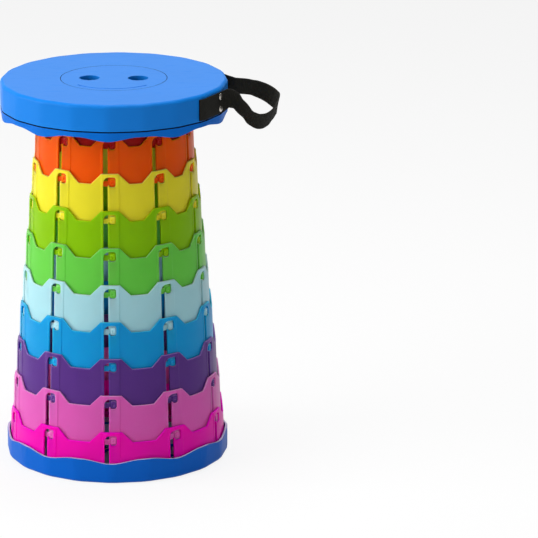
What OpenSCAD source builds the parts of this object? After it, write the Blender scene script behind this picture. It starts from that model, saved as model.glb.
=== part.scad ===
// Collapsible telescopic stool: ten nested rings between a round seat and a base cup.
// Millimetres, +Z up, origin on the floor at the centre of the base, front at -Y.
// Shown extended and locked: every lug stands in the pocket of the ring outside it.

/* [Overall] */
// Width of the base across its flat sides
base_d = 250; // [242:1:290]
// How far the seat stands out past the base, all round
seat_over = 1.5; // [0:0.1:3]
// How much is taken off each corner between two flat sides
corner_cut = 0.8; // [0.2:0.1:1.2]
// How far each ring rises out of the ring outside it
stage_rise = 41.6; // [38:0.2:56]
// Number of lug slots, waves and bumps around each ring
slot_count = 10; // [8:1:10]

/* [Rings] */
// Radial distance from one ring to the next
ring_step = 4.05; // [3.95:0.05:4.6]
// Wall thickness of a ring
ring_wall = 2; // [1.8:0.1:2.4]
// Height of the raised pad around each slot
pad_t = 0.4; // [0.2:0.1:0.6]
// Width of the raised pad around each slot
pad_w = 20; // [18:0.5:22]
// Height of a bump's crest above the pocket floor
crest_over_pocket = 14.6; // [14:0.1:18]
// Depth of the wave in a ring's top edge
wave_depth = 12; // [8:0.5:13]
// Angle that the flat top of a bump takes around the ring
bump_angle = 12; // [10:0.5:14]
// Slope of a wave's shoulders, in degrees
wave_slope = 45; // [42:1:50]
// Radius at the corners of a wave
wave_corner_r = 1.6; // [1:0.1:2.4]
// Running gap between a ring's foot and the top of the ring outside it
slide_clear = 0.3; // [0.3:0.05:0.45]
// Height of the closed hoop under a slot leg
hoop_h = 6; // [4:0.5:10]

/* [Slots and lugs] */
// Width of the straight slot leg
leg_w = 5.2; // [4.5:0.1:5.6]
// Distance from the bump's middle to the leg, to the left
leg_off = 5; // [4.8:0.1:5.6]
// Width of the pocket
pocket_w = 7.2; // [6.8:0.1:7.4]
// Distance from the bump's middle to the pocket, to the right
pocket_off = 2.8; // [2.7:0.1:3.2]
// Height of the tongue between leg and pocket above the pocket floor
tongue_h = 2; // [1.6:0.1:2.2]
// Material left over the hook, below the bump's crest
hook_cover = 3.7; // [3:0.1:4]
// Radius of the hook's outer curve
hook_r = 7; // [4:0.5:7.5]
// Radius at the pocket's upper corner
pocket_top_r = 2.5; // [1.5:0.1:3]
// Radius at the pocket's lower corner
pocket_floor_r = 3; // [2:0.1:3.4]
// Radius at the foot of the tongue
tongue_foot_r = 1.2; // [0.8:0.1:1.6]
// Width of a lug
lug_w = 5.8; // [4.5:0.1:6]
// Height of a lug
lug_h = 8.5; // [5:0.1:8.6]
// Corner radius of a lug
lug_corner_r = 2; // [1:0.1:2.2]
// Diameter of the round dimple in a lug's face
dimple_d = 2.6; // [2:0.1:3]
// Depth of that dimple
dimple_depth = 0.5; // [0.3:0.1:0.7]
// How far a lug reaches into the wall of the ring outside it
lug_reach = 1.3; // [0.9:0.1:1.4]
// Running gap around a lug in its track
lug_clear = 0.3; // [0.25:0.05:0.35]

/* [Seat] */
// Thickness of the seat plate
plate_t = 3; // [2.5:0.1:5]
// Height of the upper shell's side band
band_h = 30; // [24:0.5:33]
// Radius of the seat's top edge
seat_edge_r = 4.5; // [2:0.5:6]
// Shadow gap between the upper shell and the skirt
seam_gap = 1.2; // [0.8:0.1:2]
// Height of the skirt's tongue inside the upper shell
seat_tongue_h = 5; // [3:0.5:8]
// Thickness of the skirt's tongue
seat_tongue_t = 1.4; // [1.2:0.1:1.7]
// Gap between the skirt's tongue and the upper shell
tongue_fit = 0.1; // [0.05:0.05:0.2]
// Gap between the skirt and the outermost ring
skirt_clear = 0.4; // [0.3:0.05:0.6]
// Radius of the centre disc
disc_r = 59.4; // [50:0.1:62]
// Thickness of the centre disc
disc_t = 2.8; // [2:0.1:4]
// Joint gap around the centre disc
disc_gap = 0.5; // [0.3:0.1:1]
// Width of the ledge that carries the centre disc
ledge_w = 4; // [3:0.5:6]
// Thickness of that ledge
ledge_t = 2; // [1.5:0.1:3]
// Diameter of a finger hole
finger_d = 22.7; // [18:0.1:26]
// Distance between the two finger holes
finger_pitch = 54.4; // [50:0.2:60]
// Wall of the finger-hole tubes
finger_wall = 1.8; // [1.2:0.1:2.5]
// Depth of the finger-hole tubes below the disc's top
finger_depth = 12; // [8:0.5:16]
// Radius of the shallow curved groove in the disc
groove_r = 50.5; // [47:0.5:53]
// Angle of that groove to either side of the front
groove_angle = 50; // [20:1:60]
// Width of the groove
groove_w = 1.6; // [1:0.1:2.4]
// Depth of the groove
groove_depth = 0.8; // [0.4:0.1:1.2]
// Number of ribs under the seat plate
rib_count = 12; // [6:6:18]
// Depth of the ribs under the seat plate
rib_h = 6; // [4:0.5:7]
// Thickness of the ribs
rib_t = 1.8; // [1.4:0.1:2.4]

/* [Base] */
// Thickness of the base floor
base_floor = 3; // [2.8:0.1:5]
// Thickness of the base wall
base_wall = 1.8; // [1.6:0.1:2.8]
// Height of the base rim at its crests
rim_h = 28; // [24:0.5:33]
// Depth of the dips in the base rim, and of the lobes of the skirt
rim_dip = 4.5; // [3:0.5:7]
// Width of a dip
dip_w = 70; // [50:1:74]
// Radius of the base's lower edge
base_edge_r = 4.5; // [1:0.1:4.8]
// Gap between the base wall and the outermost ring
base_ring_gap = 0.3; // [0.3:0.1:1.4]
// Gap between the skirt and the base rim when the stool is pushed together
wave_clear = 0.5; // [0.3:0.1:1]
// Gap under the nested rings when the stool is pushed together
nest_gap = 0.5; // [0.3:0.1:1]
// Gap between the nested rings and the seat plate
head_gap = 0.6; // [0.4:0.1:1.5]
// Thickness of the fixing flanges of the outermost and the innermost ring
flange_t = 2; // [1.8:0.1:2.4]
// Width of the outermost ring's flange
foot_flange_w = 16; // [12:0.5:20]
// Height of the ribs on the base floor
base_rib_h = 3; // [2:0.5:4]
// Radius of the small rib ring at the centre of the base floor
hub_r = 15.8; // [12:0.1:20]
// Distance between the large rib ring and the innermost ring
rib_ring_gap = 3; // [2:0.5:5]
// Width of the innermost ring's flange
head_flange_w = 14; // [12:0.5:18]
// Diameter of a rubber foot pad
foot_d = 16; // [12:1:20]
// Distance from the base's flat sides in to the middle of a foot pad
foot_inset = 29; // [25:1:35]
// Depth of the pad's seat in the base floor
foot_seat = 1.2; // [0.8:0.1:1.4]
// How far the pads stand below the base
foot_stand = 0.4; // [0.3:0.1:0.8]

/* [Screws] */
// Number of screws at the seat and at the base
screw_count = 6; // [3:1:9]
// Shank diameter of a screw
screw_d = 2.9; // [2.5:0.1:3.5]
// Head diameter of a screw
screw_head_d = 5.8; // [5:0.1:6.5]
// Head height of a screw
screw_head_h = 1.4; // [1:0.1:1.6]
// Clearance around shanks and heads
screw_clear = 0.1; // [0.05:0.05:0.3]
// Free depth of a boss past the screw's tip
screw_tip_gap = 1.5; // [1:0.1:2]
// Height of the screw bosses under the seat plate
boss_h = 8; // [7.5:0.5:10]
// Diameter of the screw bosses
boss_d = 8; // [7:0.5:9]

/* [Strap] */
// Width of the strap
strap_w = 24; // [18:0.5:25]
// Thickness of the strap
strap_t = 1.3; // [1:0.1:2]
// Gap between the strap and the side band
strap_gap = 0.15; // [0.1:0.05:0.4]
// Distance from the seat's top to the strap's upper edge
strap_drop = 4.8; // [4:0.1:6]
// Angle from the strap's middle to where the loop leaves the seat
strap_foot_angle = 17; // [14:1:20]
// Angle from the strap's middle to the strap's end
strap_end_angle = 41; // [36:1:46]
// How far the loop stands out from the seat
strap_reach = 57; // [45:1:70]
// How far the front of the loop hangs down
strap_sag = 23; // [10:1:26]
// Angle from the strap's middle to its rivets
rivet_angle = 20; // [19:0.5:24]
// Height between the two rivets of a strap end
rivet_pitch = 13.6; // [10:0.2:15]
// Head diameter of a rivet
rivet_head_d = 7.4; // [5:0.1:8]
// Head height of a rivet
rivet_head_h = 1.3; // [0.8:0.1:1.6]
// Shank diameter of a rivet
rivet_d = 2.6; // [2:0.1:3]

/* [Hidden] */

through = 1;            // how far a cutter passes the face it cuts
lift = 0.1;             // how far a wavy cutter's ends stand clear of the rim they cut
round_fn = 180;
small_fn = 40;
arc_steps = 5;
edge_steps = 8;
dip_steps = 14;

// The seat and the base have two flat sides to each slot, with a corner at every slot
side_count = 2 * slot_count;
side_angle = 360 / side_count;
base_r = base_d / 2;
seat_r = base_r + seat_over;
function corner_r(r) = r / cos(side_angle / 2);
function cut_r(r) = corner_r(r) - corner_cut;
function side_normal(a) = side_angle * (round((a + 90) / side_angle - 0.5) + 0.5) - 90;

// Radii at a ring's foot, from the outside in: ring 9 is the outermost, ring 0 the innermost
ring_last = 9;
ring_out_last = base_r - base_wall - base_ring_gap;
function ring_out(i) = ring_out_last - (ring_last - i) * ring_step;
function ring_body(i) = ring_out(i) - pad_t;
function ring_in(i) = ring_body(i) - ring_wall;

// Every ring narrows upwards, as far as the ring inside it still passes its top
taper = (ring_step - pad_t - ring_wall - slide_clear) / stage_rise;
function lug_tip(i) = ring_in(i + 1) - taper * stage_rise + lug_reach;

// Heights, from the floor up
slot_pitch = 360 / slot_count;
ring_h = stage_rise + crest_over_pocket;
nest_z = base_floor + flange_t + nest_gap;
total_travel = ring_last * stage_rise - flange_t - nest_gap;
function ring_z(i) = base_floor + (ring_last - i) * stage_rise;
head_ring_h = ring_h + head_gap;
plate_z = ring_z(0) + head_ring_h;
seat_z = plate_z + plate_t;
seam_z = seat_z - band_h;
skirt_z = rim_h + wave_clear + total_travel;
skirt_in = ring_out_last - taper * (rim_h - rim_dip - base_floor) + skirt_clear;

// Slot outline, in the wall's own height
pocket_z = stage_rise - slide_clear;
hook_z = ring_h - hook_cover;

// Seat interior
disc_open_r = disc_r + disc_gap;
ledge_r = disc_open_r - ledge_w;
head_in = ring_in(0) - taper * head_ring_h;
spigot_out = head_in - slide_clear;
spigot_in = spigot_out - rib_t;
boss_r = spigot_in - boss_d / 2 - slide_clear;
head_flange_z = plate_z - boss_h - flange_t;
head_flange_in = head_in - head_flange_w;

// Base interior
foot_flange_in = ring_in(ring_last) - foot_flange_w;
foot_screw_r = ring_in(ring_last) - foot_flange_w / 2;
base_in = base_r - base_wall;
rib_ring_r = ring_in(0) - rib_ring_gap;
foot_ring_r = base_r - foot_inset;

// Strap: angles are measured from +X, the middle of the strap
strap_mid_r = seat_r + strap_gap + strap_t / 2;
strap_mid_z = seat_z - strap_drop - strap_w / 2;
rivet_r = strap_mid_r + strap_t / 2;
rivet_side = rivet_r * tan(rivet_angle - side_normal(rivet_angle));
rivet_grip = rivet_r - sqrt(pow(skirt_in, 2) - pow(rivet_side, 2));

function arc(cx, cy, r, a0, a1, n = arc_steps) =
    [for (k = [0 : n]) let (a = a0 + (a1 - a0) * k / n) [cx + r * cos(a), cy + r * sin(a)]];

// Outline of a rounded rectangle that stands on y = 0 and is centred on x = 0
function rounded_rect(w, h, r) = concat(
    arc(w / 2 - r, r, r, -90, 0), arc(w / 2 - r, h - r, r, 0, 90),
    arc(-w / 2 + r, h - r, r, 90, 180), arc(-w / 2 + r, r, r, 180, 270));

module tube(r_out, r_in, h) {
    difference() {
        cylinder(r = r_out, h = h, $fn = round_fn);
        translate([0, 0, -through]) cylinder(r = r_in, h = h + 2 * through, $fn = round_fn);
    }
}

// A ring's wall between two radii that are measured at its foot
module tapered_tube(r_out, r_in, h) {
    rotate_extrude($fn = round_fn)
        polygon([[r_in, 0], [r_out, 0], [r_out - taper * h, h], [r_in - taper * h, h]]);
}

// A body with flat sides, r from the axis to each, and cut corners. It stands on z = 0 and its
// upper edge is rounded. Each pass trims it to a slab, in turn across two sides or two corners.
module drum(r, h, edge_r) {
    intersection_for(k = [1 : side_count]) let (half = k % 2 == 0 ? cut_r(r) : r)
        rotate([90, 0, k * side_angle / 2 - 90]) linear_extrude(3 * r, center = true)
            polygon(concat([[-half, 0], [half, 0]],
                arc(half - edge_r, h - edge_r, edge_r, 0, 90, edge_steps),
                arc(edge_r - half, h - edge_r, edge_r, 90, 180, edge_steps)));
}

// The same body with plain edges
module prism(r, h) {
    half_w = corner_cut / tan(side_angle / 2);
    linear_extrude(h) polygon([for (k = [0 : side_count - 1], s = [-1, 1]) let (a = k * side_angle)
        cut_r(r) * [sin(a), -cos(a)] + s * half_w * [cos(a), sin(a)]]);
}

// Carries a flat outline, drawn in x and z, outwards from the axis to the front
module radial_prism(r_from, r_to) {
    translate([0, -r_from, 0]) rotate([90, 0, 0]) linear_extrude(r_to - r_from) children();
}

module at_slots() {
    for (k = [0 : slot_count - 1]) rotate([0, 0, k * slot_pitch]) children();
}

// ---- Rings ----

// The J outline: a straight leg that turns over a tongue into a round-bottomed pocket
module slot_outline() {
    leg_left = -leg_off - leg_w / 2;
    leg_right = -leg_off + leg_w / 2;
    pocket_left = pocket_off - pocket_w / 2;
    pocket_right = pocket_off + pocket_w / 2;
    tongue_r = (pocket_left - leg_right) / 2;
    polygon(concat(
        [[leg_right, hoop_h], [leg_left, hoop_h]],
        arc(leg_left + hook_r, hook_z - hook_r, hook_r, 180, 90, 8),
        arc(pocket_right - pocket_top_r, hook_z - pocket_top_r, pocket_top_r, 90, 0),
        arc(pocket_right - pocket_floor_r, pocket_z + pocket_floor_r, pocket_floor_r, 0, -90),
        arc(pocket_left + tongue_foot_r, pocket_z + tongue_foot_r, tongue_foot_r, -90, -180, 3),
        arc(leg_right + tongue_r, pocket_z + tongue_h - tongue_r, tongue_r, 0, 180, 4)));
}

// The gap between two bumps: sloping shoulders and a flat valley, with eased corners
module valley_outline(r) {
    top_w = r * sin((slot_pitch - bump_angle) / 2);
    low_w = top_w - wave_depth / tan(wave_slope);
    set_in = wave_corner_r * tan(wave_slope / 2);
    low = ring_h - wave_depth + wave_corner_r;
    top = ring_h + lift - wave_corner_r;
    polygon(concat(
        arc(low_w - set_in, low, wave_corner_r, -90, wave_slope - 90, 3),
        arc(top_w + set_in, top, wave_corner_r, 90 + wave_slope, 90, 3),
        [[top_w + set_in, ring_h + through], [-top_w - set_in, ring_h + through]],
        arc(-top_w - set_in, top, wave_corner_r, 90, 90 - wave_slope, 3),
        arc(-low_w + set_in, low, wave_corner_r, 270 - wave_slope, 270, 3)));
}

module lug(i) {
    difference() {
        intersection() {
            tube(lug_tip(i), ring_body(i) - ring_wall / 2, lug_h);
            radial_prism(ring_in(i), lug_tip(i) + through)
                translate([pocket_off, 0]) polygon(rounded_rect(lug_w, lug_h, lug_corner_r));
        }
        radial_prism(lug_tip(i) - dimple_depth, lug_tip(i) + through)
            translate([pocket_off, lug_h / 2]) circle(d = dimple_d, $fn = small_fn);
    }
}

// Wall and slot pads, before the slots are cut
module ring_blank(i) {
    tapered_tube(ring_body(i), ring_in(i), ring_h);
    intersection() {
        tapered_tube(ring_out(i), ring_body(i) - ring_wall / 2, ring_h);
        at_slots() radial_prism(ring_in(i) - ring_step, ring_out(i) + through)
            translate([-pad_w / 2, -through]) square([pad_w, ring_h + 2 * through]);
    }
}

// What is taken out of a slotted ring: wave, J slots, and the tracks that the lugs run down
module ring_cuts(i) {
    r_from = ring_in(i) - ring_step;
    r_to = ring_out(i) + through;
    track_z = i == ring_last ? flange_t + nest_gap / 2 : -through;
    track_w = lug_w + 2 * lug_clear;
    at_slots() {
        radial_prism(r_from, r_to) slot_outline();
        rotate([0, 0, slot_pitch / 2]) radial_prism(r_from / 2, r_to)
            valley_outline(ring_out(i) - taper * ring_h);
    }
    intersection() {
        translate([0, 0, track_z]) tube(lug_tip(i - 1) + lug_clear, r_from, ring_h);
        at_slots() radial_prism(r_from, r_to) translate([pocket_off - track_w / 2, track_z])
            square([track_w, pocket_z + through - track_z]);
    }
}

module slotted_ring(i) {
    translate([0, 0, ring_z(i)]) {
        difference() {
            ring_blank(i);
            ring_cuts(i);
        }
        if (i < ring_last) at_slots() lug(i);
    }
}

module ring_orange() { color("orangered") slotted_ring(1); }
module ring_yellow() { color("gold") slotted_ring(2); }
module ring_lime() { color("yellowgreen") slotted_ring(3); }
module ring_green() { color("limegreen") slotted_ring(4); }
module ring_cyan() { color("paleturquoise") slotted_ring(5); }
module ring_blue() { color("dodgerblue") slotted_ring(6); }
module ring_purple() { color("rebeccapurple") slotted_ring(7); }
module ring_pink() { color("mediumvioletred") slotted_ring(8); }

// The innermost ring: plain wall up to the seat plate, with a flange that is screwed to the bosses
module ring_red() {
    color("red") {
        translate([0, 0, ring_z(0)]) {
            tapered_tube(ring_body(0), ring_in(0), head_ring_h);
            at_slots() lug(0);
        }
        translate([0, 0, head_flange_z])
            flange(head_in + ring_wall / 2, head_flange_in, boss_r);
    }
}

// The outermost ring: its flange lies on the base floor, under the nested rings
module ring_magenta() {
    color("deeppink") {
        slotted_ring(ring_last);
        translate([0, 0, base_floor])
            flange(ring_in(ring_last) + ring_wall / 2, foot_flange_in, foot_screw_r);
    }
}

// An inward flange with its screw holes
module flange(r_out, r_in, screw_r) {
    difference() {
        tube(r_out, r_in, flange_t);
        at_screws(screw_r) screw_hole(flange_t + through);
    }
}

// ---- Seat ----

// A smooth dip of the rim, as a raised cosine: the region from the dip up to h above the crest
function dip_points(h) = concat(
    [for (k = [0 : dip_steps]) let (x = dip_w * (k / dip_steps - 0.5))
        [x, lift - (rim_dip + lift) * (1 + cos(360 * x / dip_w)) / 2]],
    [[dip_w / 2, h], [-dip_w / 2, h]]);

module seat_top() {
    rebate_in = skirt_in + seat_tongue_t + tongue_fit;
    color("dodgerblue") difference() {
        union() {
            difference() {
                translate([0, 0, seam_z]) drum(seat_r, band_h, seat_edge_r);
                translate([0, 0, seam_z - through])
                    cylinder(r = skirt_in, h = plate_z - seam_z + through, $fn = round_fn);
                translate([0, 0, seam_z - through])
                    cylinder(r = rebate_in, h = seat_tongue_h - seam_gap + through, $fn = round_fn);
            }
            translate([0, 0, seat_z - disc_t - ledge_t])
                tube(disc_open_r + rib_t, ledge_r, ledge_t + through);
            translate([0, 0, plate_z - rib_h]) tube(spigot_out, spigot_in, rib_h + through);
            for (k = [0 : rib_count - 1]) rotate([0, 0, (k + 0.5) * 360 / rib_count])
                translate([disc_open_r, -rib_t / 2, plate_z - rib_h])
                    cube([spigot_in - disc_open_r + rib_t / 2, rib_t, rib_h + through]);
            at_screws(boss_r) translate([0, 0, plate_z - boss_h])
                cylinder(d = boss_d, h = boss_h + through, $fn = small_fn);
        }
        translate([0, 0, seat_z - disc_t]) cylinder(r = disc_open_r, h = disc_t + through, $fn = round_fn);
        translate([0, 0, plate_z - rib_h - through])
            cylinder(r = ledge_r, h = rib_h + plate_t + 2 * through, $fn = round_fn);
        at_screws(boss_r) translate([0, 0, plate_z - boss_h]) screw_hole(boss_h);
        at_rivets() rivet_hole();
    }
}

// Rebated tongue, flat lower edge, and a lobe over each dip of the base rim
module seat_skirt() {
    skirt_h = seam_z - seam_gap - skirt_z;
    color("dodgerblue") {
        difference() {
            translate([0, 0, skirt_z]) prism(seat_r, skirt_h);
            translate([0, 0, skirt_z - through])
                cylinder(r = skirt_in, h = skirt_h + 2 * through, $fn = round_fn);
        }
        translate([0, 0, skirt_z + skirt_h - through])
            tube(skirt_in + seat_tongue_t, skirt_in, seat_tongue_h + through);
        difference() {
            intersection() {
                translate([0, 0, skirt_z - rim_dip - through]) prism(seat_r, rim_dip + 2 * through);
                at_slots() radial_prism(skirt_in / 2, corner_r(seat_r) + through)
                    translate([0, skirt_z]) polygon(dip_points(through / 2));
            }
            translate([0, 0, skirt_z - rim_dip - 2 * through])
                cylinder(r = skirt_in, h = rim_dip + 4 * through, $fn = round_fn);
        }
    }
}

module centre_disc() {
    color("dodgerblue") difference() {
        union() {
            translate([0, 0, seat_z - disc_t]) cylinder(r = disc_r, h = disc_t, $fn = round_fn);
            for (s = [-1, 1]) translate([s * finger_pitch / 2, 0, seat_z - finger_depth])
                cylinder(d = finger_d + 2 * finger_wall, h = finger_depth - disc_t / 2, $fn = round_fn);
        }
        for (s = [-1, 1]) translate([s * finger_pitch / 2, 0, seat_z - finger_depth - through])
            cylinder(d = finger_d, h = finger_depth + 2 * through, $fn = round_fn);
        translate([0, 0, seat_z - groove_depth]) rotate([0, 0, -90 - groove_angle])
            rotate_extrude(angle = 2 * groove_angle, $fn = round_fn)
                translate([groove_r - groove_w / 2, 0]) square([groove_w, groove_depth + through]);
    }
}

// ---- Screws and rivets ----

module at_screws(r) {
    for (k = [0 : screw_count - 1]) rotate([0, 0, k * 360 / screw_count]) translate([r, 0, 0]) children();
}

// A plain hole for a screw's shank, open below, up to h above z = 0
module screw_hole(h) {
    translate([0, 0, -through]) cylinder(d = screw_d + 2 * screw_clear, h = h + through, $fn = small_fn);
}

// Head down, shank up, the head's upper face at z = 0
module screw(length) {
    translate([0, 0, -screw_head_h]) cylinder(d = screw_head_d, h = screw_head_h, $fn = small_fn);
    translate([0, 0, -screw_head_h / 2])
        cylinder(d = screw_d, h = length + screw_head_h / 2, $fn = small_fn);
}

module seat_screws() {
    color("silver") at_screws(boss_r) translate([0, 0, head_flange_z])
        screw(flange_t + boss_h - screw_tip_gap);
}

module base_screws() {
    color("silver") at_screws(foot_screw_r) translate([0, 0, foot_stand + screw_head_h + screw_clear])
        screw(base_floor + flange_t - foot_stand - screw_head_h - 2 * screw_clear);
}

// Places children at the rivets, square to the side they sit on, with z = 0 on the strap's face
module at_rivets(sides = [-1, 1]) {
    for (s = sides, u = [-1, 1]) rotate([0, 0, s * side_normal(rivet_angle)])
        translate([rivet_r, s * rivet_side, strap_mid_z + u * rivet_pitch / 2])
            rotate([0, 90, 0]) children();
}

module rivet_hole() {
    translate([0, 0, -rivet_grip - through])
        cylinder(d = rivet_d + 2 * screw_clear, h = rivet_grip + 2 * through, $fn = small_fn);
}

module rivets(side) {
    color("silver") at_rivets([side]) {
        rotate_extrude($fn = small_fn) intersection() {
            square([rivet_head_d / 2, rivet_head_h]);
            translate([0, rivet_head_h - rivet_head_d]) circle(rivet_head_d, $fn = small_fn);
        }
        translate([0, 0, -rivet_grip])
            cylinder(d = rivet_d, h = rivet_grip + rivet_head_h / 2, $fn = small_fn);
    }
}

module rivets_front() { rivets(-1); }
module rivets_back() { rivets(1); }

// ---- Strap ----

tab_angles = concat([strap_foot_angle + 1],
    [for (k = [0 : side_count]) let (a = k * side_angle - 90)
        if (a > strap_foot_angle + 3 && a < strap_end_angle - 1) a],
    [strap_end_angle]);
tab_last = len(tab_angles) - 1;

// Where the band lies on the seat's sides: place, lean, and the angle that its face looks to
function tab_place(k, s) = let (a = tab_angles[k], normal = side_normal(a), r = strap_mid_r / cos(a - normal))
    [r * cos(a), s * r * sin(a), strap_mid_z, 0, s * (k > 0 && k < tab_last ? a : normal)];

// The loop in free air, from front to back: distance in from its far end, distance sideways,
// drop as a share of the sag, and how far the band's upper edge leans outwards in degrees
loop = [[54, -34.5, -0.1, 15], [48, -34.5, -0.02, 22], [41, -36.5, 0.25, 34], [35, -37.5, 0.53, 41],
        [27, -38.5, 0.86, 39], [18, -37, 1, 34], [10, -31, 0.93, 29], [4, -21, 0.7, 21], [0.5, -8, 0.52, 13],
        [1.5, 8, 0.48, 4], [9, 24, 0.36, -6], [19, 32, 0.21, -20], [30, 34.5, 0.08, -32], [48, 35, 0, -30]];
function loop_place(row) = [seat_r + strap_reach - row[0], row[1], strap_mid_z - row[2] * strap_sag, row[3]];

module strap() {
    pts = concat([for (k = [tab_last : -1 : 0]) tab_place(k, -1)],
        [for (row = loop) loop_place(row)],
        [for (k = [0 : tab_last]) tab_place(k, 1)]);
    n = len(pts);
    function place(k) = [pts[k][0], pts[k][1], pts[k][2]];
    corners = [for (k = [0 : n - 1])
        let (along = place(min(k + 1, n - 1)) - place(max(k - 1, 0)),
             free_out = [along[1], -along[0], 0] / norm([along[0], along[1]]),
             out = is_undef(pts[k][4]) ? free_out : [cos(pts[k][4]), sin(pts[k][4]), 0],
             up = is_undef(pts[k][4]) ? cross(out, along / norm(along)) : [0, 0, 1],
             face = cos(pts[k][3]) * out - sin(pts[k][3]) * up,
             width = sin(pts[k][3]) * out + cos(pts[k][3]) * up)
            for (c = [[-1, -1], [1, -1], [1, 1], [-1, 1]])
                place(k) + c[0] * strap_t / 2 * face + c[1] * strap_w / 2 * width];
    sides = [for (k = [0 : n - 2], j = [0 : 3]) let (a = 4 * k + j, b = 4 * k + (j + 1) % 4)
        for (triangle = [[a, b, b + 4], [a, b + 4, a + 4]]) triangle];
    color("black") difference() {
        polyhedron(points = corners, faces = concat([[3, 2, 1, 0]], sides,
            [[4 * n - 4, 4 * n - 3, 4 * n - 2, 4 * n - 1]]));
        at_rivets() rivet_hole();
    }
}

// ---- Base ----

module base_cup() {
    color("dodgerblue") difference() {
        union() {
            difference() {
                translate([0, 0, rim_h]) mirror([0, 0, 1]) drum(base_r, rim_h - foot_stand, base_edge_r);
                translate([0, 0, base_floor]) cylinder(r = base_in, h = rim_h, $fn = round_fn);
            }
            for (k = [0 : rib_count - 1]) rotate([0, 0, k * 360 / rib_count])
                translate([hub_r - rib_t / 2, -rib_t / 2, base_floor - through])
                    cube([rib_ring_r - hub_r, rib_t, base_rib_h + through]);
            for (r = [hub_r, rib_ring_r]) translate([0, 0, base_floor - through])
                tube(r, r - rib_t, base_rib_h + through);
        }
        at_slots() radial_prism(base_in / 2, corner_r(base_r) + through)
            translate([0, rim_h]) polygon(dip_points(through));
        at_screws(foot_screw_r) {
            screw_hole(base_floor + through);
            cylinder(d = screw_head_d + 2 * screw_clear, h = foot_stand + screw_head_h + screw_clear,
                     $fn = small_fn);
        }
        at_feet() cylinder(d = foot_d + 2 * screw_clear, h = foot_stand + foot_seat, $fn = small_fn);
    }
}

module at_feet() {
    for (k = [0 : screw_count - 1]) rotate([0, 0, (k + 0.5) * 360 / screw_count])
        translate([foot_ring_r, 0, 0]) children();
}

module base_feet() {
    color("dimgray") at_feet() cylinder(d = foot_d, h = foot_stand + foot_seat, $fn = small_fn);
}

ring_red();
ring_orange();
ring_yellow();
ring_lime();
ring_green();
ring_cyan();
ring_blue();
ring_purple();
ring_pink();
ring_magenta();
seat_top();
seat_skirt();
centre_disc();
seat_screws();
strap();
rivets_front();
rivets_back();
base_cup();
base_screws();
base_feet();
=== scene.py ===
"""A collapsible stool: ten telescoping rings between a flat seat and a base cup, and a webbing loop."""
from math import cos, dist, pi, radians, sin

import bpy
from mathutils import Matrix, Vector


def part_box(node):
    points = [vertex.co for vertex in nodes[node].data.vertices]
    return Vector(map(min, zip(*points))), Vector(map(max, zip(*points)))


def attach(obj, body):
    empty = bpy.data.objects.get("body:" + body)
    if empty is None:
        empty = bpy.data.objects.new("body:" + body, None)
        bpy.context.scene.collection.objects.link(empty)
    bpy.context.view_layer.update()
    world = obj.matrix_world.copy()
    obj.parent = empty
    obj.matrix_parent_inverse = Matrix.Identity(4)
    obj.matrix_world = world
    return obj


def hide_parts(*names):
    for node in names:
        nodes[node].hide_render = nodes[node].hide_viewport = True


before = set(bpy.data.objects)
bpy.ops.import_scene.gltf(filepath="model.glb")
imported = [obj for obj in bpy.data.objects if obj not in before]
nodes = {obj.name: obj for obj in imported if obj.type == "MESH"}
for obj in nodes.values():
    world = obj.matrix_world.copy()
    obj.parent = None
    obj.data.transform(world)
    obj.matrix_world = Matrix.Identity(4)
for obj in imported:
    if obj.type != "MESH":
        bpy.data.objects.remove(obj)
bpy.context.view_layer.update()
bpy.ops.object.select_all(action="DESELECT")


# ---- The ten rings ----
# Thin walls of semi-gloss polypropylene, injection moulded, one colour to a ring. All but the
# innermost have ten J slots in raised pads and bumps along the top edge, and all but the
# outermost have lugs at the foot, which stand in the pockets of the ring outside.

slot_count = 10
ring_edge = 0.00035
ring_soft_edge = 0.0013
mould_line_sharpness = 160
plastic_gloss = 0.08
glow_depth = 0.008


def node(tree, kind, x, y, **values):
    """Adds a shader node at a place in the tree and sets its properties."""
    made = tree.nodes.new(kind)
    made.location = (x, y)
    for name, value in values.items():
        setattr(made, name, value)
    return made


def math_node(tree, operation, x, y, a, b=0.5, clamp=False):
    """Adds a math node and gives its result; a and b are numbers or sockets."""
    made = node(tree, "ShaderNodeMath", x, y, operation=operation, use_clamp=clamp)
    for socket, value in zip(made.inputs, (a, b)):
        if isinstance(value, (int, float)):
            socket.default_value = value
        else:
            tree.links.new(value, socket)
    return made.outputs[0]


def noise(tree, x, y, where, scale, detail):
    """Adds a noise texture, read at the places that a socket gives."""
    made = node(tree, "ShaderNodeTexNoise", x, y)
    made.inputs["Scale"].default_value = scale
    made.inputs["Detail"].default_value = detail
    tree.links.new(where, made.inputs["Vector"])
    return made.outputs["Fac"]


def shaded(tree, x, y, colour, value, darkest, palest):
    """Scales a colour, from darkest where the value is 0 to palest where it is 1."""
    shade = node(tree, "ShaderNodeMapRange", x, y)
    shade.inputs["To Min"].default_value = darkest
    shade.inputs["To Max"].default_value = palest
    tree.links.new(value, shade.inputs["Value"])
    made = node(tree, "ShaderNodeVectorMath", x + 200, y, operation="SCALE")
    tree.links.new(colour, made.inputs[0])
    tree.links.new(shade.outputs["Result"], made.inputs["Scale"])
    return made.outputs["Vector"]


def mixed(tree, x, y, share, first, second):
    """Mixes two colours by a share of the second; each is a colour or a socket."""
    made = node(tree, "ShaderNodeMix", x, y, data_type="RGBA")
    tree.links.new(share, made.inputs["Factor"])
    for side, colour in (("A", first), ("B", second)):
        if isinstance(colour, tuple):
            made.inputs[side].default_value = (*colour, 1)
        else:
            tree.links.new(colour, made.inputs[side])
    return made.outputs["Result"]


def bump(tree, x, y, height, distance):
    """Adds a bump node whose relief stands out by the distance where its height is 1."""
    made = node(tree, "ShaderNodeBump", x, y)
    made.inputs["Distance"].default_value = distance
    tree.links.new(height, made.inputs["Height"])
    return made


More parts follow.
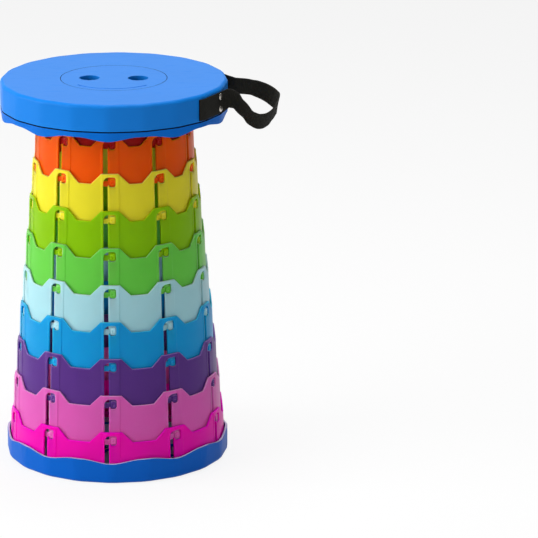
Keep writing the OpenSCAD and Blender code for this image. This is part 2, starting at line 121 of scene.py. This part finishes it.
def split(tree, x, y, vector):
    """Gives the X, Y and Z of a vector."""
    made = node(tree, "ShaderNodeSeparateXYZ", x, y)
    tree.links.new(vector, made.inputs["Vector"])
    return made.outputs


def new_group(name, inputs, outputs):
    """Starts a node group; gives its tree, what goes into it, what comes out, and the coordinates."""
    tree = bpy.data.node_groups.new(name, "ShaderNodeTree")
    for title, kind, value in inputs:
        socket = tree.interface.new_socket(name=title, in_out="INPUT", socket_type=f"NodeSocket{kind}")
        socket.default_value = value
    for title, kind in outputs:
        tree.interface.new_socket(name=title, in_out="OUTPUT", socket_type=f"NodeSocket{kind}")
    start = node(tree, "NodeGroupInput", -1400, 0)
    end = node(tree, "NodeGroupOutput", 900, 0)
    place = node(tree, "ShaderNodeTexCoord", -1400, -300)
    return tree, start.outputs, end.inputs, place.outputs


def moulded_surface():
    """The skin of a moulded part: cloudy colour, soft edges painted paler as a highlight where they face up,
    scuffs, fine grain and mould lines.
    """
    tree, given, result, place = new_group(
        "moulded surface",
        [("Colour", "Color", (0.5, 0.5, 0.5, 1)), ("Roughness", "Float", 0.35), ("Grain", "Float", 0.1),
         ("Mould line", "Float", 0.0), ("Edge radius", "Float", 0.0003), ("Highlight from", "Float", 0.1),
         ("Highlight to", "Float", 0.6), ("Highlight colour", "Color", (1, 1, 1, 1)),
         ("Painted highlight", "Float", 0.0)],
        [("Colour", "Color"), ("Roughness", "Float"), ("Normal", "Vector")])
    link = tree.links.new
    cloud = noise(tree, -1100, 200, place["Object"], scale=14, detail=3)
    cloudy = shaded(tree, -900, 200, given["Colour"], cloud, darkest=0.95, palest=1.05)

    # Soft edges. What looks up, by how steeply its normal rises, is painted paler as a highlight
    soft_edge = node(tree, "ShaderNodeBevel", -1100, 500, samples=6)
    link(given["Edge radius"], soft_edge.inputs["Radius"])
    facing = split(tree, -900, 500, soft_edge.outputs["Normal"])
    highlight_mask = node(tree, "ShaderNodeMapRange", -700, 500, interpolation_type="SMOOTHSTEP")
    link(given["Highlight from"], highlight_mask.inputs["From Min"])
    link(given["Highlight to"], highlight_mask.inputs["From Max"])
    link(facing["Z"], highlight_mask.inputs["Value"])
    highlight_share = math_node(tree, "MULTIPLY", -500, 500, highlight_mask.outputs["Result"], given["Painted highlight"])
    link(mixed(tree, -300, 300, highlight_share, cloudy, given["Highlight colour"]), result["Colour"])

    # Scuffs: long thin streaks that are a little duller
    streak_place = node(tree, "ShaderNodeMapping", -1100, -150)
    streak_place.inputs["Rotation"].default_value = (0.3, 0.5, 0.2)
    streak_place.inputs["Scale"].default_value = (60, 420, 18)
    link(place["Object"], streak_place.inputs["Vector"])
    streaks = noise(tree, -900, -150, streak_place.outputs["Vector"], scale=1, detail=4)
    scuff = node(tree, "ShaderNodeMapRange", -700, -150)
    scuff.inputs["From Min"].default_value = 0.55
    scuff.inputs["From Max"].default_value = 0.75
    scuff.inputs["To Max"].default_value = 0.14
    link(streaks, scuff.inputs["Value"])
    link(math_node(tree, "ADD", -400, -50, given["Roughness"], scuff.outputs["Result"]), result["Roughness"])

    # Fine spark-eroded grain, and a soft upright line where the mould's slides meet
    grain = noise(tree, -900, -450, place["Object"], scale=1600, detail=2)
    grain_height = math_node(tree, "MULTIPLY", -650, -450, grain, given["Grain"])
    spot = split(tree, -1200, -700, place["Object"])
    turn = math_node(tree, "ARCTAN2", -1050, -700, spot["X"], spot["Y"])
    pitches = math_node(tree, "MULTIPLY", -900, -700, turn, slot_count / (2 * pi))
    away = math_node(tree, "PINGPONG", -750, -700, pitches, 0.5)
    fall = math_node(tree, "MULTIPLY", -600, -700, away, -mould_line_sharpness)
    ridge = math_node(tree, "EXPONENT", -450, -700, fall)
    line_height = math_node(tree, "MULTIPLY", -300, -650, ridge, given["Mould line"])
    height = math_node(tree, "ADD", -100, -500, grain_height, line_height)
    relief = bump(tree, 150, -400, height, distance=0.0001)
    link(soft_edge.outputs["Normal"], relief.inputs["Normal"])
    link(relief.outputs["Normal"], result["Normal"])
    return tree


skin = moulded_surface()


def new_material(name):
    """Adds a material, and gives it with its tree and its shader."""
    made = bpy.data.materials.new(name)
    made.use_nodes = True
    return made, made.node_tree, made.node_tree.nodes["Principled BSDF"]


def moulded_plastic(name, colour, highlight_colour, highlight_strength, edge_radius, highlight_slope=(0.08, 0.6),
                    roughness=0.34, grain=0.12, mould_line=0.0, glow=0.0):
    """A moulded polypropylene in one colour, painted paler as a highlight where it faces up; glow is how
    much light a thin wall lets through.
    """
    made, tree, shader = new_material(name)
    surface = node(tree, "ShaderNodeGroup", -300, 0, node_tree=skin)
    # Painted highlight: how steeply a surface must face up before it is painted paler, and in which tint
    highlight_from, highlight_to = highlight_slope
    for title, value in (("Colour", (*colour, 1)), ("Roughness", roughness), ("Grain", grain),
                         ("Mould line", mould_line), ("Edge radius", edge_radius),
                         ("Highlight from", highlight_from), ("Highlight to", highlight_to),
                         ("Highlight colour", (*highlight_colour, 1)), ("Painted highlight", highlight_strength)):
        surface.inputs[title].default_value = value
    for output, target in (("Colour", "Base Color"), ("Roughness", "Roughness"), ("Normal", "Normal")):
        tree.links.new(surface.outputs[output], shader.inputs[target])
    shader.inputs["IOR"].default_value = 1.49
    shader.inputs["Specular IOR Level"].default_value = plastic_gloss
    shader.inputs["Subsurface Weight"].default_value = glow
    shader.inputs["Subsurface Radius"].default_value = (1, 1, 1)
    shader.inputs["Subsurface Scale"].default_value = glow_depth
    return made


def finish_moulding(name, material, edge):
    """Gives a CAD node its material and the small radius that a mould leaves on every edge."""
    part = nodes[name]
    part.data.materials.clear()
    part.data.materials.append(material)
    weld = part.modifiers.new("joined faces", "WELD")
    weld.merge_threshold = 0.00001
    round_off = part.modifiers.new("moulded edges", "BEVEL")
    round_off.width = edge
    round_off.segments = 2
    round_off.limit_method = "ANGLE"
    round_off.angle_limit = radians(32)
    even = part.modifiers.new("even shading", "WEIGHTED_NORMAL")
    even.weight = 60


ring_colours = {
    "red": (0.36, 0.002, 0.002),
    "orange": (0.98, 0.086, 0.0),
    "yellow": (0.92, 0.74, 0.024),
    "lime": (0.23, 0.50, 0.0),
    "green": (0.13, 0.57, 0.06),
    "cyan": (0.36, 0.67, 0.76),
    "blue": (0.004, 0.285, 0.65),
    "purple": (0.095, 0.03, 0.22),
    "pink": (0.68, 0.10, 0.42),
    "magenta": (1.0, 0.0, 0.39),
}
for colour_name, colour in ring_colours.items():
    # Each ring's up-facing edges are painted paler in a lifted tint of its own colour, as a highlight
    highlight_tint = [channel ** 0.5 for channel in colour]
    plastic = moulded_plastic(f"{colour_name} plastic", colour, highlight_tint, highlight_strength=0.8,
                              edge_radius=ring_soft_edge, mould_line=0.6, glow=0.75)
    finish_moulding(f"ring_{colour_name}", plastic, ring_edge)


# ---- Seat and base ----
# Two shells and a round insert make the seat, and one deep cup the base. All are moulded in one blue
# polypropylene, a little duller than the rings; painted light and shade make it a touch deeper from seat to
# cup.

seat_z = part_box("seat_top")[1][2]
upper_shell_height = 0.030
seam_z = seat_z - upper_shell_height
seam_gap = 0.0012
disc_radius = 0.0594
disc_gap = 0.0005
groove_radius = 0.0505
groove_width = 0.0016
# Depth below the seat's top where the groove's painted highlight begins
groove_highlight_depth = 0.0003

# Half the width of each line of painted shade, as a share of the gap that holds it
seam_shade_share = 0.6
disc_shade_share = 0.7

# Colours of the painted shade in the seam and round the insert, and of the painted highlight in the groove
painted_shade_colour = (0.001, 0.003, 0.012)
groove_highlight_colour = (0.0, 0.30, 1.0)
# Painted light and shade: one plastic, painted lighter for the upper shell and deeper for the skirt and cup
shell_colour = (0.006, 0.188, 0.65)
skirt_colour = (0.0, 0.138, 0.59)
base_colour = (0.0, 0.112, 0.53)
white = (1, 1, 1)
shell_edge = 0.00018
disc_edge = 0.00015
seat_soft_edge = 0.0004
base_edge = 0.0004
base_soft_edge = 0.0006


def seat_lines():
    """The seat's lines: painted shade in the seam and round the insert, and a painted highlight in the
    groove.
    """
    tree, given, result, place = new_group("seat lines", [("Colour", "Color", (0.5, 0.5, 0.5, 1))],
                                           [("Colour", "Color")])
    link = tree.links.new
    spot = split(tree, -800, -300, place["Object"])
    flat = node(tree, "ShaderNodeCombineXYZ", -600, -300)
    link(spot["X"], flat.inputs["X"])
    link(spot["Y"], flat.inputs["Y"])
    reach = node(tree, "ShaderNodeVectorMath", -400, -300, operation="LENGTH")
    link(flat.outputs["Vector"], reach.inputs[0])
    from_axis = reach.outputs["Value"]

    def near(level, value, middle, half):
        """1 within half of the middle, 0 beyond."""
        mask = math_node(tree, "COMPARE", -200, level, value, middle)
        mask.node.inputs[2].default_value = half
        return mask

    # Painted shade in the seam and in the gap round the insert
    in_seam = near(300, spot["Z"], seam_z - seam_gap / 2, seam_gap * seam_shade_share)
    round_disc = near(100, from_axis, disc_radius + disc_gap / 2, disc_gap * disc_shade_share)
    painted_shade_mask = math_node(tree, "MAXIMUM", 0, 200, in_seam, round_disc)
    # A painted highlight along the groove, below the seat's top face
    on_groove = near(-100, from_axis, groove_radius, groove_width / 2)
    sunk = math_node(tree, "LESS_THAN", -200, -400, spot["Z"], seat_z - groove_highlight_depth)
    groove_highlight_mask = math_node(tree, "MULTIPLY", 0, -200, on_groove, sunk)
    dark = mixed(tree, 300, 100, painted_shade_mask, given["Colour"], painted_shade_colour)
    link(mixed(tree, 550, 0, groove_highlight_mask, dark, groove_highlight_colour), result["Colour"])
    return tree


seat_marks = seat_lines()


def seat_plastic(name, colour, highlight_share):
    """The seat's blue, painted paler as a highlight where it lies flat, with the painted shade of its seam
    and insert and the painted highlight of its groove.
    """
    made = moulded_plastic(name, colour, white, highlight_share, seat_soft_edge, highlight_slope=(0.9, 1),
                           roughness=0.42, grain=0.2)
    tree = made.node_tree
    lines = node(tree, "ShaderNodeGroup", -100, 200, node_tree=seat_marks)
    shader_colour = tree.nodes["Principled BSDF"].inputs["Base Color"]
    tree.links.new(shader_colour.links[0].from_socket, lines.inputs["Colour"])
    tree.links.new(lines.outputs["Colour"], shader_colour)
    return made


# The upper shell's flat top is painted paler as a highlight; the skirt gets none
upper_plastic = seat_plastic("blue seat plastic", shell_colour, highlight_share=0.035)
lower_plastic = seat_plastic("blue skirt plastic", skirt_colour, highlight_share=0)
# The base's up-facing edges are painted paler toward white, as a highlight
base_plastic = moulded_plastic("blue base plastic", base_colour, white, highlight_strength=0.5,
                               edge_radius=base_soft_edge, highlight_slope=(0.25, 0.85), roughness=0.42,
                               grain=0.2)
finish_moulding("seat_top", upper_plastic, shell_edge)
finish_moulding("seat_skirt", lower_plastic, shell_edge)
finish_moulding("centre_disc", upper_plastic, disc_edge)
finish_moulding("base_cup", base_plastic, base_edge)


# ---- Screws and feet ----
# Zinc-plated steel screws hold the innermost ring to the seat and the outermost to the base,
# where their heads are sunk. Six matt rubber pads are pressed into round seats under the floor.

small_edge = 0.0002
plating_spots = 0.3
zinc_colour = (0.60, 0.60, 0.58)
rubber_black = (0.016, 0.016, 0.016)
rubber_dust = (0.05, 0.048, 0.045)


def plated_surface():
    """Thin bright plating, cloudy in tone and duller in its paler spots."""
    tree, given, result, place = new_group(
        "plated surface", [("Colour", "Color", (0.5, 0.5, 0.5, 1)), ("Roughness", "Float", 0.2)],
        [("Colour", "Color"), ("Roughness", "Float")])
    smudge = noise(tree, -600, -300, place["Object"], scale=700, detail=4)
    toned = shaded(tree, -400, 100, given["Colour"], smudge, darkest=0.7, palest=1.15)
    tree.links.new(toned, result["Colour"])
    duller = math_node(tree, "MULTIPLY_ADD", -100, -200, smudge, plating_spots)
    tree.links.new(given["Roughness"], duller.node.inputs[2])
    tree.links.new(duller, result["Roughness"])
    return tree


plating = plated_surface()


def plated_metal(name, colour, roughness):
    """A plated metal in one tone."""
    made, tree, shader = new_material(name)
    surface = node(tree, "ShaderNodeGroup", -300, 0, node_tree=plating)
    surface.inputs["Colour"].default_value = (*colour, 1)
    surface.inputs["Roughness"].default_value = roughness
    tree.links.new(surface.outputs["Colour"], shader.inputs["Base Color"])
    tree.links.new(surface.outputs["Roughness"], shader.inputs["Roughness"])
    shader.inputs["Metallic"].default_value = 1
    return made


def matt_rubber():
    """Black rubber, grey with dust in patches and faintly pebbled."""
    made, tree, shader = new_material("matt rubber")
    place = node(tree, "ShaderNodeTexCoord", -900, 0)
    dust = noise(tree, -700, 0, place.outputs["Object"], scale=90, detail=6)
    tree.links.new(mixed(tree, -400, 100, dust, rubber_black, rubber_dust), shader.inputs["Base Color"])
    shader.inputs["Roughness"].default_value = 0.8
    pebbles = bump(tree, -400, -200, dust, distance=0.0001)
    tree.links.new(pebbles.outputs["Normal"], shader.inputs["Normal"])
    return made


zinc = plated_metal("zinc-plated steel", zinc_colour, roughness=0.2)
finish_moulding("seat_screws", zinc, small_edge)
finish_moulding("base_screws", zinc, small_edge)
finish_moulding("base_feet", matt_rubber(), small_edge)


# ---- Carrying strap ----
# Black polypropylene webbing, woven in cross ribs with a firm edge. Both ends lie flat on the
# seat's side under two rivets; there it folds outwards into a loop that twists as it sags.

strap_width = 0.024
strap_thickness = 0.0013
strap_gap = 0.0004
strap_reach = 0.057
strap_sag = 0.023
strap_below_top = 0.0168
rib_pitch = 0.0016
yarns_across = 14
yarn_black = (0.004, 0.004, 0.003)
fibre_grey = (0.026, 0.025, 0.018)
seat_radius = 0.1265
side_angle = 18
band_radius = seat_radius + strap_thickness / 2 + strap_gap
strap_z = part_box("seat_top")[1][2] - strap_below_top
far_x = seat_radius + strap_reach


def on_band(angle):
    """A point of the strap's route, flat on the seat's sides, at an angle from +X and with no lean."""
    side_middle = side_angle * (angle // side_angle + 0.5)
    radius = band_radius / cos(radians(angle - side_middle))
    return radius * cos(radians(angle)), radius * sin(radians(angle)), strap_z, 0


# From the strap's end to where it leaves the band, on both sides of +X
tab_angles = (39.5, 36, 31, 24, 18)

# Distance in from the far end, distance sideways, drop as a share of the sag, and lean
loop = [(0.054, -0.0345, -0.1, 15), (0.048, -0.0345, -0.02, 22), (0.041, -0.0365, 0.25, 34),
        (0.035, -0.0375, 0.53, 41), (0.027, -0.0385, 0.86, 39), (0.018, -0.037, 1, 34),
        (0.010, -0.031, 0.93, 29), (0.004, -0.021, 0.7, 21), (0.0005, -0.008, 0.52, 13),
        (0.0015, 0.008, 0.48, 4), (0.009, 0.024, 0.36, -6), (0.019, 0.032, 0.21, -20),
        (0.030, 0.0345, 0.08, -32), (0.048, 0.035, 0, -30)]
route = [on_band(-angle) for angle in tab_angles]
route += [(far_x - back, side, strap_z - drop * strap_sag, lean) for back, side, drop, lean in loop]
route += [on_band(angle) for angle in reversed(tab_angles)]
strap_length = sum(dist(a[:3], b[:3]) for a, b in zip(route, route[1:]))

bpy.ops.curve.primitive_bezier_curve_add()
guide = bpy.context.object
guide.data.twist_mode = "Z_UP"
guide.data.use_stretch = True
guide.data.use_deform_bounds = True
guide.data.resolution_u = 16
guide.data.splines[0].bezier_points.add(len(route) - 2)
for point, (x, y, z, lean) in zip(guide.data.splines[0].bezier_points, route):
    point.co = (x, y, z)
    point.handle_left_type = point.handle_right_type = "AUTO"
    point.tilt = radians(lean)

bpy.ops.mesh.primitive_grid_add(x_subdivisions=260, y_subdivisions=12, size=1)
strap = bpy.context.object
strap.name = "carrying_strap"
bpy.ops.object.mode_set(mode="EDIT")
bpy.ops.mesh.select_all(action="SELECT")
bpy.ops.transform.resize(value=(strap_length, strap_width, 1))
bpy.ops.transform.rotate(value=pi / 2, orient_axis="X", center_override=(0, 0, 0))
bpy.ops.object.mode_set(mode="OBJECT")
follow = strap.modifiers.new("follows the route", "CURVE")
follow.object = guide
follow.deform_axis = "POS_X"
cloth = strap.modifiers.new("webbing thickness", "SOLIDIFY")
cloth.thickness = strap_thickness
cloth.offset = 0
firm_edge = strap.modifiers.new("firm edge", "BEVEL")
firm_edge.width = 0.0004
firm_edge.segments = 3
firm_edge.angle_limit = radians(50)
for modifier in ("follows the route", "webbing thickness", "firm edge"):
    bpy.ops.object.modifier_apply(modifier=modifier)
bpy.ops.object.shade_smooth_by_angle(angle=radians(60))
bpy.data.objects.remove(guide)


def webbing_weave():
    """Heavy webbing: rows of short yarns, each row half a yarn on from the last, with loose fibres."""
    tree, given, result, place = new_group(
        "webbing weave", [("Rows", "Float", 160), ("Yarns", "Float", yarns_across)],
        [("Height", "Float"), ("Fibres", "Float")])
    spot = split(tree, -1000, -300, place["UV"])
    row = math_node(tree, "MULTIPLY", -800, 100, spot["X"], given["Rows"])
    row_number = math_node(tree, "FLOOR", -600, 0, row)
    shift = math_node(tree, "MULTIPLY", -450, 0, row_number, 0.5)
    yarn = math_node(tree, "MULTIPLY", -800, -200, spot["Y"], given["Yarns"])
    shifted = math_node(tree, "ADD", -300, -100, yarn, shift)

    # Each yarn's crown is an arch, 1 in the middle and 0 at both edges
    crowns = []
    for level, value in ((150, row), (-150, shifted)):
        part = math_node(tree, "FRACT", -150, level, value)
        centred = math_node(tree, "SUBTRACT", 0, level, part, 0.5)
        square = math_node(tree, "MULTIPLY", 150, level, centred, centred)
        fall = math_node(tree, "MULTIPLY", 300, level, square, 4)
        crowns.append(math_node(tree, "SUBTRACT", 450, level, 1.0, fall))
    height = math_node(tree, "MULTIPLY", 600, 0, crowns[0], crowns[1])
    tree.links.new(height, result["Height"])
    fibre_place = node(tree, "ShaderNodeMapping", -800, -500)
    fibre_place.inputs["Scale"].default_value = (90, 900, 1)
    tree.links.new(place["UV"], fibre_place.inputs["Vector"])
    fibre = noise(tree, -600, -500, fibre_place.outputs["Vector"], scale=1, detail=5)
    tree.links.new(math_node(tree, "MULTIPLY", 700, -300, fibre, height), result["Fibres"])
    return tree


def black_webbing():
    """Matt black yarns that stand out in rows, with greyer fibres on their crowns."""
    made, tree, shader = new_material("black webbing")
    weave = node(tree, "ShaderNodeGroup", -800, 0, node_tree=webbing_weave())
    weave.inputs["Rows"].default_value = strap_length / rib_pitch
    weave.inputs["Yarns"].default_value = yarns_across
    yarn_tone = mixed(tree, -400, 150, weave.outputs["Fibres"], yarn_black, fibre_grey)
    tree.links.new(yarn_tone, shader.inputs["Base Color"])
    shader.inputs["Roughness"].default_value = 0.82
    shader.inputs["Specular IOR Level"].default_value = 0.2
    yarn_relief = bump(tree, -400, -200, weave.outputs["Height"], distance=0.00035)
    tree.links.new(yarn_relief.outputs["Normal"], shader.inputs["Normal"])
    return made


strap.data.materials.append(black_webbing())
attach(strap, "seat")
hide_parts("strap")


# ---- Rivets ----
# Two nickel-plated rivets with low domed heads at each end of the strap, set through the
# webbing and the seat's wall.

nickel_colour = (0.66, 0.62, 0.56)
nickel = plated_metal("nickel plating", nickel_colour, roughness=0.18)
finish_moulding("rivets_front", nickel, small_edge)
finish_moulding("rivets_back", nickel, small_edge)


# ---- The room ----
# A white paper floor that still takes a shadow, a studio that is brightest on the left, seen in
# gloss, and soft lamps: a broad key and a side light from the left, a weak fill in front, a
# small one at the right of the seat, and a top light.

paper_white = (0.88, 0.88, 0.88)
paper_glow = 0.86
studio_bright_way = (-0.45, 0.15, 0.1)
studio_middle = 0.5
studio_spill = 0.04


def pale_paper():
    """Matt paper that shines where it is seen, straight, in gloss or through glass, and keeps shadows."""
    made, tree, shader = new_material("pale floor")
    shader.inputs["Base Color"].default_value = (*paper_white, 1)
    shader.inputs["Roughness"].default_value = 0.9
    rays = node(tree, "ShaderNodeLightPath", -300, 300).outputs
    seen = math_node(tree, "ADD", -100, 300, rays["Is Camera Ray"], rays["Is Glossy Ray"])
    seen = math_node(tree, "ADD", 0, 300, seen, rays["Is Transmission Ray"], clamp=True)
    share = math_node(tree, "MULTIPLY", 100, 300, seen, paper_glow)
    glow = node(tree, "ShaderNodeEmission", 100, 100)
    blend = node(tree, "ShaderNodeMixShader", 500, 200)
    tree.links.new(share, blend.inputs["Fac"])
    tree.links.new(shader.outputs[0], blend.inputs[1])
    tree.links.new(glow.outputs[0], blend.inputs[2])
    tree.links.new(blend.outputs[0], tree.nodes["Material Output"].inputs["Surface"])
    return made


bpy.ops.mesh.primitive_plane_add(size=30, location=(0, 0, 0))
floor = bpy.context.object
floor.name = "floor"
floor.data.materials.append(pale_paper())


def studio():
    """Plain white to the camera; gloss sees it brighter one way, and a small share lights the stool."""
    made = bpy.data.worlds.new("studio")
    made.use_nodes = True
    tree = made.node_tree
    way = node(tree, "ShaderNodeTexCoord", -1200, 0)
    slope = node(tree, "ShaderNodeVectorMath", -1000, 0, operation="DOT_PRODUCT")
    slope.inputs[1].default_value = studio_bright_way
    tree.links.new(way.outputs["Generated"], slope.inputs[0])
    soft = math_node(tree, "ADD", -800, 0, slope.outputs["Value"], studio_middle, clamp=True)
    rays = node(tree, "ShaderNodeLightPath", -1000, 300).outputs
    seen = math_node(tree, "ADD", -800, 300, rays["Is Camera Ray"], rays["Is Transmission Ray"], clamp=True)
    gleam = math_node(tree, "MAXIMUM", -800, 150, rays["Is Glossy Ray"], studio_spill)
    dim = math_node(tree, "MULTIPLY", -600, 100, soft, gleam)
    sky = tree.nodes["Background"]
    tree.links.new(math_node(tree, "MAXIMUM", -400, 200, seen, dim), sky.inputs["Strength"])
    sky.inputs["Color"].default_value = (*white, 1)
    return made


bpy.context.scene.world = studio()


def soft_lamp(name, place, target, size, power):
    """A square area lamp that points at a target."""
    bpy.ops.object.light_add(type="AREA", location=place)
    lamp = bpy.context.object
    lamp.name = name
    lamp.data.size = size
    lamp.data.energy = power
    lamp.rotation_euler = (Vector(target) - Vector(place)).to_track_quat("-Z", "Y").to_euler()


stool_middle = (0, 0, 0.22)
seat_right = (0.12, -0.05, 0.42)
soft_lamp("key", (-2.3, -1.5, 1.7), stool_middle, size=1.6, power=45)
soft_lamp("side", (-2.6, -0.3, 0.8), stool_middle, size=0.9, power=36)
soft_lamp("fill", (0.6, -2.8, 0.9), stool_middle, size=1.5, power=7)
soft_lamp("near right", (0.85, -0.95, 0.7), seat_right, size=0.35, power=1.7)
soft_lamp("top", (0.1, 0.2, 2.4), stool_middle, size=1.4, power=48)

camera_place = (0.2715, -4.5102, 1.5401)
camera_dip = 0.2856
camera_turn = 0.0217
bpy.ops.object.camera_add(location=camera_place, rotation=(pi / 2 - camera_dip, 0, camera_turn))
camera = bpy.context.object
camera.data.sensor_width = 36
camera.data.lens = 277.8
camera.data.clip_end = 60
bpy.context.scene.camera = camera
bpy.context.scene.view_settings.view_transform = "Standard"
